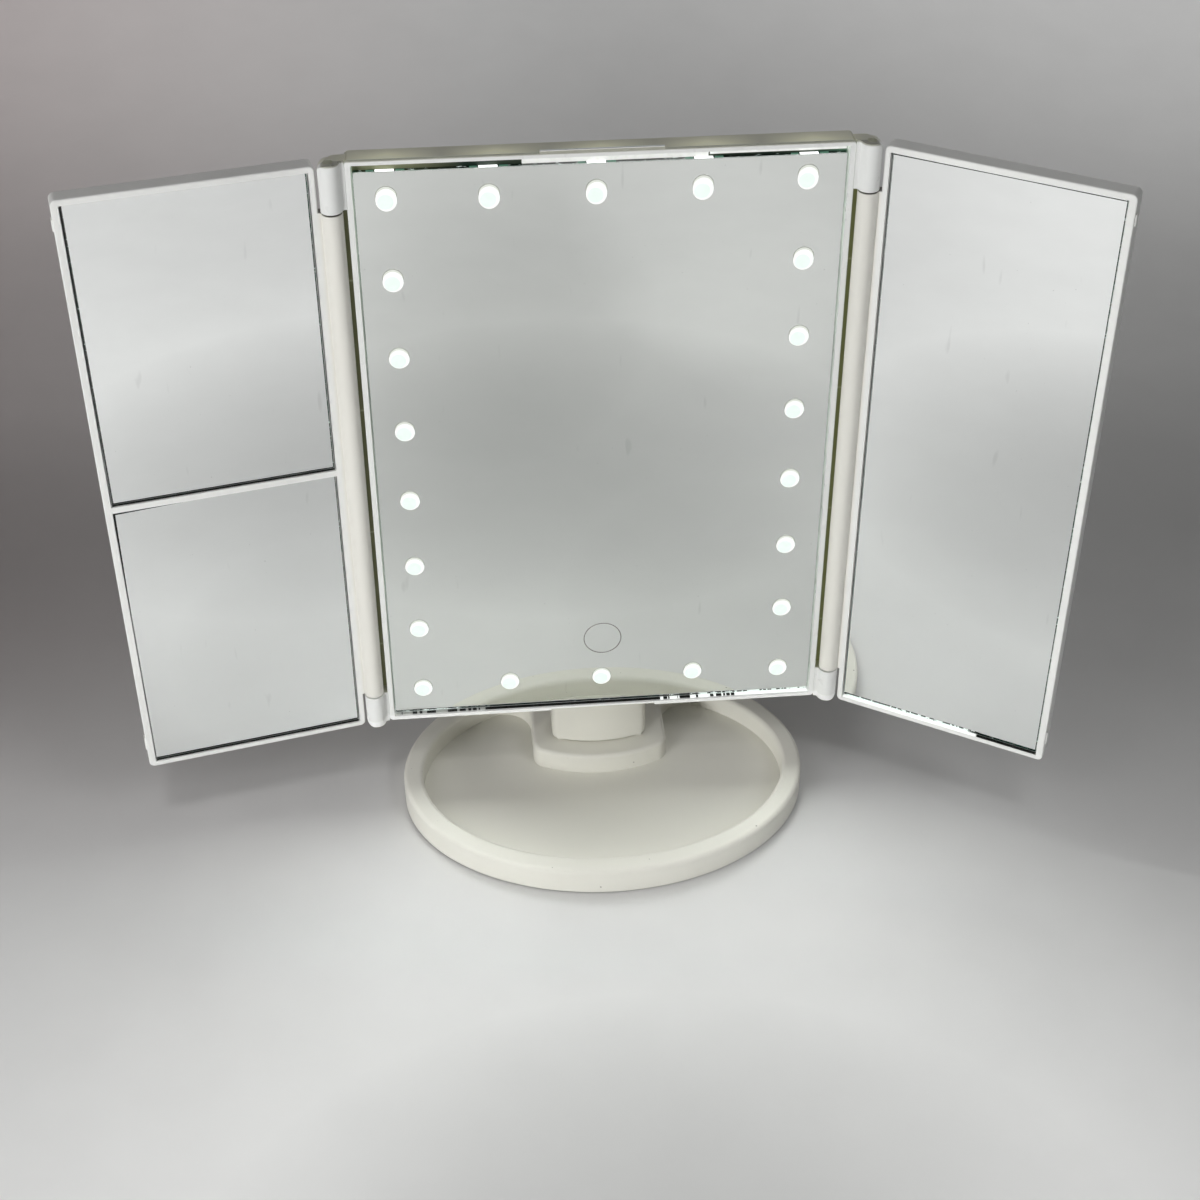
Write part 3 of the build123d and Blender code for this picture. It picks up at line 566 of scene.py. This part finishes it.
def rounded_loop(x, z, radius, steps=5):
    """Corner points of a rounded rectangle, anticlockwise from the lower left."""
    points = []
    corners = (
        (x[0] + radius, z[0] + radius, 180),
        (x[1] - radius, z[0] + radius, 270),
        (x[1] - radius, z[1] - radius, 0),
        (x[0] + radius, z[1] - radius, 90),
    )
    for centre_x, centre_z, start in corners:
        for step in range(steps + 1):
            turn = math.radians(start + 90 * step / steps)
            points.append((centre_x + radius * math.cos(turn), centre_z + radius * math.sin(turn)))
    return points


def add_circle(mesh, centre, radius, depth, segments, tall=1.0):
    """A ring of vertices, stretched upright by tall."""
    loop = []
    for step in range(segments):
        turn = 2 * math.pi * step / segments
        x = centre[0] + radius * math.cos(turn)
        z = centre[1] + radius * tall * math.sin(turn)
        loop.append(mesh.verts.new((x, depth, z)))
    return loop


def join_loops(mesh, first, second):
    """A band of faces between two vertex loops of the same length."""
    faces = []
    for step in range(len(first)):
        after = (step + 1) % len(first)
        faces.append(mesh.faces.new((first[step], first[after], second[after], second[step])))
    return faces


def set_material(faces, material):
    for face in faces:
        face.material_index = material


def add_disc(mesh, centre, radius, front, back, material=0, tall=1.0):
    """A closed disc that faces the front, stretched upright by tall."""
    segments = 40
    rings = ((1.0, back), (1.0, front), (0.66, front), (0.33, front))
    loops = [add_circle(mesh, centre, radius * share, depth, segments, tall) for share, depth in rings]
    middle = mesh.verts.new((centre[0], front, centre[1]))
    faces = [mesh.faces.new(loops[0])]
    for outer, inner in zip(loops, loops[1:]):
        faces += join_loops(mesh, outer, inner)
    innermost = loops[-1]
    for step in range(segments):
        after = (step + 1) % segments
        faces.append(mesh.faces.new((innermost[step], innermost[after], middle)))
    set_material(faces, material)


def add_ring(mesh, centre, inner, outer, front, back, material=0, segments=64):
    """A flat closed ring."""
    profile = ((inner, back), (outer, back), (outer, front), (inner, front))
    loops = [add_circle(mesh, centre, radius, depth, segments) for radius, depth in profile]
    for loop, following in zip(loops, loops[1:] + loops[:1]):
        set_material(join_loops(mesh, loop, following), material)


def add_bar(mesh, x, y, z, material=0, bevel=0.1):
    """A box with softened edges from three (low, high) pairs."""
    made = bmesh.ops.create_cube(mesh, size=1.0)
    size = Vector([high - low for low, high in (x, y, z)])
    middle = Vector([(low + high) / 2 for low, high in (x, y, z)])
    for vertex in made["verts"]:
        vertex.co = vertex.co * size + middle
    edges = list({edge for vertex in made["verts"] for edge in vertex.link_edges})
    bevelled = bmesh.ops.bevel(mesh, geom=edges, offset=bevel, segments=2, affect="EDGES", profile=0.5)
    set_material({face for vertex in bevelled["verts"] for face in vertex.link_faces}, material)


def add_sliver(mesh, start, end, widths, material=0):
    """A thin closed strip just in front of the glass, between two (x, z) points. Its width changes
    from the first to the second of widths."""
    start, end = Vector((start[0], 0, start[1])), Vector((end[0], 0, end[1]))
    along = (end - start).normalized()
    side = Vector((-along.z, 0, along.x))
    corners = (
        start + side * widths[0] / 2,
        end + side * widths[1] / 2,
        end - side * widths[1] / 2,
        start - side * widths[0] / 2,
    )
    loops = []
    for depth in (GLASS_FRONT - 0.07, GLASS_FRONT - 0.01):
        loops.append([mesh.verts.new(corner + Vector((0, depth, 0))) for corner in corners])
    faces = [mesh.faces.new(loop) for loop in loops]
    set_material(faces + join_loops(mesh, *loops), material)


# ---------------------------------------------------------------- glass

def glass_pane(name, x, z, matrix, body, node, borders, edge, corner=0.6):
    """A mirror pane: silvered front, dark border where the edge shows through, ground sides.
    borders are the widths seen at the left, right, bottom and top."""
    silvered, ground, chamfer, painted = range(4)
    mesh = bmesh.new()
    left, right, bottom, top = borders
    outline = rounded_loop(x, z, corner)
    arris = rounded_loop((x[0] + ARRIS, x[1] - ARRIS), (z[0] + ARRIS, z[1] - ARRIS), corner)
    window = rounded_loop((x[0] + left, x[1] - right), (z[0] + bottom, z[1] - top), corner)
    levels = (
        (outline, GLASS_FRONT + GLASS_THICKNESS),
        (outline, GLASS_FRONT + ARRIS),
        (arris, GLASS_FRONT),
        (window, GLASS_FRONT),
    )
    loops = [[mesh.verts.new((px, depth, pz)) for px, pz in points] for points, depth in levels]
    set_material([mesh.faces.new(loops[0])], painted)
    for first, second, material in zip(loops, loops[1:], (ground, chamfer, ground)):
        set_material(join_loops(mesh, first, second), material)
    set_material([mesh.faces.new(loops[-1])], silvered)
    materials = [SILVERS[body], edge, ARRIS_MATERIAL, BACKING_MATERIAL]
    finish_piece(mesh, name, matrix, materials, body, (node,))


def build_panes():
    centre_edge = glass_edge("centre_glass_edge", PANEL, ((-82, -52, 0.55), (34, 83, 1.0)))
    left_edge = glass_edge("left_glass_edge", LEFT_WING)
    right_edge = glass_edge("right_glass_edge", RIGHT_WING, ((5, 62, 1.0),))
    glass_pane(
        "centre_glass", CENTRE_ACROSS, CENTRE_UP, PANEL, "panel", "centre_mirror",
        (0.25, 0.25, 0.6, 0.15), centre_edge, 0.8,
    )
    left_across = (-WING_OUTSIDE, -WING_INSIDE)
    glass_pane(
        "left_upper_glass", left_across, LEFT_UPPER_UP, LEFT_WING, "left_wing", "left_upper_mirror",
        (0.7, 0.6, 0.35, 0.15), left_edge,
    )
    glass_pane(
        "left_lower_glass", left_across, LEFT_LOWER_UP, LEFT_WING, "left_wing", "left_lower_mirror",
        (0.1, 0.5, 0.35, 0.15), left_edge,
    )
    glass_pane(
        "right_glass", (WING_INSIDE, WING_OUTSIDE), WING_UP, RIGHT_WING, "right_wing", "right_mirror",
        (0.35, 0.6, 0.9, 0.2), right_edge,
    )


# ---------------------------------------------------------------- lamps and touch ring

def build_lamp_windows():
    """Clear windows in the silver, each lit from behind, with painted ghost reflections just above it in the
    glass.
    The layers of one lamp lie up to a hundredth of a millimetre apart, its window and core in front.
    Windows higher than stretch_from look taller, step by step."""
    window, core, ghost, second_ghost, ghost_rim, window_rim = range(6)
    stretch_from, stretch_over = 160.0, 60.0
    mesh = bmesh.new()
    front, back = GLASS_FRONT - 0.02, GLASS_FRONT + 0.05
    for x, z in lamp_places():
        tall = 1.02 + 0.12 * max(0.0, z - stretch_from) / stretch_over
        above = z + GHOST_RISE + (tall - 1.0) * LAMP_RADIUS
        rim, small = LAMP_RADIUS + 0.1, LAMP_RADIUS - 0.1
        add_disc(mesh, (x, above + SECOND_GHOST_RISE), LAMP_RADIUS * 0.62, front, back, second_ghost)
        add_ring(mesh, (x, above), LAMP_RADIUS - 0.4, rim, front - 0.005, back, ghost_rim, 48)
        add_disc(mesh, (x, above), small, front - 0.01, back, ghost)
        add_ring(mesh, (x, z), LAMP_RADIUS - 0.3, LAMP_RADIUS + 0.14, front - 0.02, back, window_rim, 48)
        add_disc(mesh, (x, z), LAMP_RADIUS + 0.08, front - 0.03, back, window, tall)
        add_disc(mesh, (x - 0.3, z - 0.7), LAMP_RADIUS * 0.78, front - 0.035, back, core)
    materials = [
        lit("lamp_window", (0.98, 0.99, 0.975), 1.05, 0.02),
        lit("lamp_core", (0.89, 1.0, 0.945), 1.0, 0.02),
        # painted ghost reflections of the lamp and their rim
        lit("lamp_ghost", (0.76, 0.79, 0.72), 0.95, 0.1),
        lit("lamp_second_ghost", (0.60, 0.62, 0.58), 0.85, 0.1),
        frosted_glass("ghost_rim", (0.42, 0.44, 0.38)),
        frosted_glass("window_rim", (0.26, 0.32, 0.26)),
    ]
    finish_piece(mesh, "lamp_windows", PANEL, materials, "panel")


def build_touch_ring():
    mesh = bmesh.new()
    inner, outer = TOUCH_RADIUS - 0.2, TOUCH_RADIUS + 0.2
    add_ring(mesh, TOUCH_CENTRE, inner, outer, GLASS_FRONT - 0.02, GLASS_FRONT + 0.05)
    etched = frosted_glass("etched_ring", (0.30, 0.29, 0.27))
    finish_piece(mesh, "touch_ring", PANEL, [etched], "panel")


def build_edge_glow():
    """Light that leaves the top edge of the glass above each lamp of the top row, green at its ends."""
    mesh = bmesh.new()
    glass_top = CENTRE_UP[1]
    # (left, right) of the lamp's centre, (front, back), height, material, bevel
    patches = (
        ((-3.1, 3.1), (2.15, 3.75), 0.05, 0, 0.03),
        ((3.6, 6.5), (2.3, 3.6), 0.03, 1, 0.02),
        ((-6.0, -3.5), (2.3, 3.6), 0.03, 1, 0.02),
    )
    for lamp_x in sorted(x for x, z in lamp_places() if z > glass_top - 15):
        for (left, right), depths, height, material, bevel in patches:
            heights = (glass_top - 0.02, glass_top + height)
            add_bar(mesh, (lamp_x + left, lamp_x + right), depths, heights, material, bevel)
    materials = [
        lit("edge_glow", (0.97, 1.0, 0.98), 1.6),
        lit("edge_glow_green", (0.10, 0.24, 0.17), 0.6),
    ]
    finish_piece(mesh, "edge_glow", PANEL, materials, "panel")


def build_back_wall():
    """Painted shade of the carrier seen over the top of the glass, and the pale foam that closes its middle,
    glowing with painted light.
    """
    mesh = bmesh.new()
    glass_top, carrier_top, foam_top = CENTRE_UP[1], 232.6, 232.5
    add_bar(mesh, CENTRE_ACROSS, (3.9, 4.15), (glass_top - 1.0, carrier_top), 0, 0.05)
    # pale foam bars that glow with painted light
    add_bar(mesh, (-26.0, 35.0), (3.35, 3.95), (glass_top + 0.15, foam_top), 1, 0.1)
    add_bar(mesh, (35.5, 80.7), (3.6, 3.95), (glass_top + 0.75, foam_top), 1, 0.1)
    materials = [carrier_shade(), lit("carrier_foam_glow", (0.84, 0.85, 0.82), 0.72, 0.5)]
    finish_piece(mesh, "carrier_shade", PANEL, materials, "panel")


# ---------------------------------------------------------------- seams and ledges

def dashes(low, high, first, last, seed, materials=(0, 1)):
    """Uneven runs (low, high, material) along an edge. The share of the second material goes from
    first to last."""
    chance = random.Random(seed)
    runs = []
    place = low
    while place < high:
        length = chance.uniform(0.3, 1.3)
        share = first + (last - first) * (place - low) / (high - low)
        material = materials[1] if chance.random() < share else materials[0]
        runs.append((place, min(place + length, high), material))
        place += length
    return runs


def build_gap_shadows():
    """Dark slivers of painted shade where a pane stands clear of its frame: (start, end, widths)."""
    outside, lower_top, top = -WING_OUTSIDE, LEFT_LOWER_UP[1], WING_UP[1]
    left = (
        ((outside + 0.25, lower_top - 0.8), (-50.0, lower_top - 0.35), (1.1, 0.05)),
        ((outside + 0.25, lower_top - 0.8), (outside + 0.05, 70.0), (0.70, 0.05)),
        ((outside + 0.15, top - 0.2), (outside + 0.05, 140.0), (0.30, 0.05)),
    )
    right = (
        ((6.9, top - 0.75), (40.0, top - 0.75), (0.35, 0.20)),
        ((40.0, top - 0.75), (84.4, top - 0.8), (0.20, 0.30)),
    )
    wings = (("left_gap_shadows", LEFT_WING, "left_wing", left), ("right_gap_shadows", RIGHT_WING, "right_wing", right))
    for name, matrix, body, slivers in wings:
        mesh = bmesh.new()
        for start, end, widths in slivers:
            add_sliver(mesh, start, end, widths)
        finish_piece(mesh, name, matrix, [SEAM_SHADOW_MATERIAL], body)


def build_ledges():
    """What is seen on the frame's lower walls in front of each pane: black painted shade, or painted lamp light
    and sheen broken by dashes."""
    dark, glow, sheen = range(3)
    centre_runs = (
        dashes(-80.6, -45.0, 0.7, 0.2, 3, (dark, sheen))
        + [(-45.0, 18.0, dark)]
        + dashes(18.0, 52.0, 0.1, 0.85, 5, (dark, glow))
        + [(52.0, 80.6, glow)]
    )
    left_runs = [(-84.6, -6.8, dark)]
    right_runs = [(6.8, 61.0, glow), (61.4, 84.6, dark)]
    # name, frame, body, front of the ledge, foot of its pane, height, runs
    ledges = (
        ("centre_ledge", PANEL, "panel", 0.85, CENTRE_UP[0], 0.44, centre_runs),
        ("left_upper_ledge", LEFT_WING, "left_wing", 1.15, LEFT_UPPER_UP[0], 0.24, left_runs),
        ("left_lower_ledge", LEFT_WING, "left_wing", 1.15, LEFT_LOWER_UP[0], 0.24, left_runs),
        ("right_ledge", RIGHT_WING, "right_wing", 0.75, WING_UP[0], 0.24, right_runs),
    )
    gap = 0.03
    for name, matrix, body, front, foot, height, runs in ledges:
        mesh = bmesh.new()
        heights = (foot - gap - height, foot - gap)
        for low, high, material in runs:
            add_bar(mesh, (low, high), (front, GLASS_FRONT - 0.05), heights, material, 0.04)
        finish_piece(mesh, name, matrix, LEDGE_MATERIALS, body)


def build_foot_shade_marks():
    """Dark slivers of painted shade along the lit foot of a pane, one at each dark run of its dashes."""
    dark = 0
    edge_marks = (
        ("centre_foot_shade", PANEL, "panel", 2.8, dashes(22.0, 80.4, 0.35, 0.75, 11)),
        ("right_foot_shade", RIGHT_WING, "right_wing", 2.2, dashes(7.0, 62.0, 0.15, 0.45, 8)),
    )
    for name, matrix, body, height, runs in edge_marks:
        mesh = bmesh.new()
        for low, high, material in runs:
            if material == dark:
                add_sliver(mesh, (low, height), (high, height), (0.55, 0.40))
        finish_piece(mesh, name, matrix, [SEAM_SHADOW_MATERIAL], body)


# ---------------------------------------------------------------- stage

SWEEP_START, SWEEP_RADIUS, SWEEP_STEPS = 0.45, 0.9, 16
SWEEP_FRONT, SWEEP_HALF_WIDTH, SWEEP_TOP = -3.5, 3.2, 3.0
PAPER_BLUSH = (1.0, 0.915, 0.915)

# Painted light and shade on the paper sweep from front to back, darkest behind the mirror: (metres behind the
# mirror, tone)
BACKDROP_PAINTED_LIGHT = (
    (-0.25, 0.84),
    (-0.02, 0.80),
    (0.06, 0.60),
    (0.16, 0.44),
    (0.30, 0.56),
    (0.56, 0.70),
    (0.70, 0.90),
    (0.90, 0.92),
)
TONE_START, TONE_END = BACKDROP_PAINTED_LIGHT[0][0], 1.0

# A painted shadow of deeper tone on the floor in front: centre and reach, across and ahead
FRONT_SHADOW_CENTRE, FRONT_SHADOW_REACH, FRONT_SHADOW_EDGE, FRONT_SHADOW_DEPTH = (0.0, -0.25), (0.13, 0.11), 1.6, 0.42


def paper_material():
    """Pale paper with painted light and shade: its tone runs from front to back, with a painted shadow on the
    floor in front, fine fibre and a faint blush at the far left.
    """
    paper = Shader("paper", (0.8, 0.8, 0.79), 0.7)
    split = paper.node("ShaderNodeSeparateXYZ")
    paper.link(paper.coordinates, split.inputs["Vector"])
    across, depth = split.outputs[:2]
    # painted light and shade: the tone falls off from front to back, darkest behind the mirror
    tone = paper.node("ShaderNodeValToRGB")
    paper.link(paper.ramp(depth, TONE_START, TONE_END), tone.inputs["Fac"])
    stops = tone.color_ramp.elements
    for index, (place, value) in enumerate(BACKDROP_PAINTED_LIGHT):
        stop = stops[index] if index < 2 else stops.new(0.5)
        stop.position = (place - TONE_START) / (TONE_END - TONE_START)
        stop.color = (value, value, value * 0.99, 1.0)
    tone.color_ramp.interpolation = "B_SPLINE"
    grain = paper.mix(paper.ramp(paper.noise(30.0, 4.0), 0.3, 0.7), grey(0.97), grey(1.0))
    paper.colour(paper.multiply(1.0, tone.outputs["Color"], grain))
    # painted shadow on the floor in front
    front_shadow = paper.patch((across, depth), FRONT_SHADOW_CENTRE, FRONT_SHADOW_REACH, FRONT_SHADOW_EDGE)
    paper.tint(paper.all_of(front_shadow, FRONT_SHADOW_DEPTH), grey(0.2))
    far_left = paper.all_of(paper.fade(across, -0.35, -0.02), paper.ramp(depth, -0.05, 0.12))
    dimmed = paper.surface.inputs["Base Color"].links[0].from_socket
    paper.colour(paper.multiply(far_left, dimmed, PAPER_BLUSH))
    return paper.material


def build_backdrop():
    """Pale paper sweep: flat in front, curving up behind."""
    mesh = bmesh.new()
    profile = [(y, 0.0) for y in (SWEEP_FRONT, -1.2, -0.3, SWEEP_START)]
    for step in range(1, SWEEP_STEPS + 1):
        turn = math.radians(90 * step / SWEEP_STEPS)
        y = SWEEP_START + SWEEP_RADIUS * math.sin(turn)
        profile.append((y, SWEEP_RADIUS * (1 - math.cos(turn))))
    profile.append((SWEEP_START + SWEEP_RADIUS, SWEEP_TOP))
    rows = []
    for x in (-SWEEP_HALF_WIDTH, 0.0, SWEEP_HALF_WIDTH):
        rows.append([mesh.verts.new((x, y, z)) for y, z in profile])
    for first, second in zip(rows, rows[1:]):
        for step in range(len(profile) - 1):
            mesh.faces.new((first[step], second[step], second[step + 1], first[step + 1]))
    bmesh.ops.recalc_face_normals(mesh, faces=mesh.faces)
    data = bpy.data.meshes.new("backdrop")
    mesh.to_mesh(data)
    mesh.free()
    data.polygons.foreach_set("use_smooth", [True] * len(data.polygons))
    data.materials.append(paper_material())
    backdrop = bpy.data.objects.new("backdrop", data)
    bpy.context.scene.collection.objects.link(backdrop)


def aim_light(data, place, aim):
    """Add a light that the mirrors and the camera don't show."""
    lamp = bpy.data.objects.new(data.name, data)
    lamp.location = place
    lamp.rotation_euler = (Vector(aim) - Vector(place)).to_track_quat("-Z", "Y").to_euler()
    lamp.visible_glossy = False
    lamp.visible_camera = False
    bpy.context.scene.collection.objects.link(lamp)


def area_light(name, place, aim, size, power, colour=(1, 1, 1)):
    data = bpy.data.lights.new(name, "AREA")
    data.shape = "RECTANGLE"
    data.size, data.size_y = size
    data.energy = power
    data.color = colour
    aim_light(data, place, aim)


def pool_light(name, place, aim, width, power):
    """A soft pool of light, width being the cone's angle in degrees."""
    data = bpy.data.lights.new(name, "SPOT")
    data.spot_size = math.radians(width)
    data.spot_blend = 1.0
    data.shadow_soft_size = 0.08
    data.energy = power
    aim_light(data, place, aim)


# Light that each column of lamps sends out in front of the glass: name, X in millimetres, power
STRIPS = (("lamps_left", -LAMP_COLUMN, 0.18), ("lamps_right", LAMP_COLUMN, 0.175))
STRIP_SIZE = (0.007, 0.210)
STRIP_AHEAD = 5.0

# Studio lights, all aimed at the middle of the mirror: name, place, size, power
STUDIO_AIM = (0, 0, 0.12)
STUDIO = (
    ("low_left", (-1.02, -1.22, 0.29), (0.5, 0.2), 11.8),
    ("side_left", (-1.12, -0.41, 1.22), (0.5, 0.4), 1.1),
    ("high_left", (-0.76, -0.91, 1.22), (0.5, 0.4), 1.5),
    ("high_right", (0.80, -0.88, 1.22), (0.5, 0.4), 3.3),
    ("back_fill", (0.3, 1.3, 0.9), (0.8, 0.6), 2.0),
)

# Pools of light on the paper: name, place, aim, cone angle in degrees, power
POOLS = (
    ("floor_left", (-0.35, -0.5, 1.1), (-0.32, -0.35, 0), 38, 17),
    ("floor_front", (0.0, -0.9, 1.1), (0.0, -0.65, 0), 45, 23),
    ("floor_near", (0.0, -0.5, 1.0), (0.0, -0.22, 0), 26, 10.0),
    ("floor_near_right", (0.2, -0.6, 1.0), (0.2, -0.3, 0), 26, 8.8),
    ("floor_right", (0.14, -0.5, 1.0), (0.14, -0.145, 0), 18, 4.2),
    ("floor_near_left", (-0.17, -0.5, 1.0), (-0.17, -0.06, 0), 22, 5.6),
    ("paper_middle", (0.1, 0.3, 1.1), (0.1, 0.45, 0), 50, 3.9),
    ("paper_right", (0.5, 0.3, 1.1), (0.5, 0.35, 0), 40, 3.1),
    ("paper_top_left", (-0.51, 0.4, 1.3), (-0.45, 0.95, 0.2), 60, 11.2),
    ("paper_top_right", (0.6, 0.4, 1.3), (0.62, 0.95, 0.15), 60, 29.5),
    ("paper_top_middle", (-0.16, 0.3, 1.2), (-0.15, 0.74, 0.03), 26, 5.5),
)


def build_lights():
    world = bpy.data.worlds.new("studio")
    bpy.context.scene.world = world
    world.use_nodes = True
    background = world.node_tree.nodes["Background"]
    background.inputs["Color"].default_value = (0.95, 0.96, 1.0, 1.0)
    background.inputs["Strength"].default_value = 0.018
    ahead = PANEL.to_3x3() @ Vector((0, -1, 0))
    for name, x, power in STRIPS:
        place = PANEL @ (Vector((x, -STRIP_AHEAD, HINGE_UP)) * MM)
        area_light(name, place, place + ahead, STRIP_SIZE, power, (0.97, 1.0, 0.97))
    for name, place, size, power in STUDIO:
        area_light(name, place, STUDIO_AIM, size, power)
    for pool in POOLS:
        pool_light(*pool)


def build_camera():
    data = bpy.data.cameras.new("camera")
    data.lens = CAMERA_LENS
    data.sensor_width = SENSOR_WIDTH
    camera = bpy.data.objects.new("camera", data)
    camera.location = CAMERA_PLACE
    camera.rotation_euler = [math.radians(angle) for angle in CAMERA_TURN]
    bpy.context.scene.collection.objects.link(camera)
    bpy.context.scene.camera = camera


build_camera()
build_backdrop()
build_lights()
paint_cad_nodes()
build_panes()
build_lamp_windows()
build_touch_ring()
build_edge_glow()
build_back_wall()
build_gap_shadows()
build_ledges()
build_foot_shade_marks()

bpy.context.scene.view_settings.view_transform = "Standard"
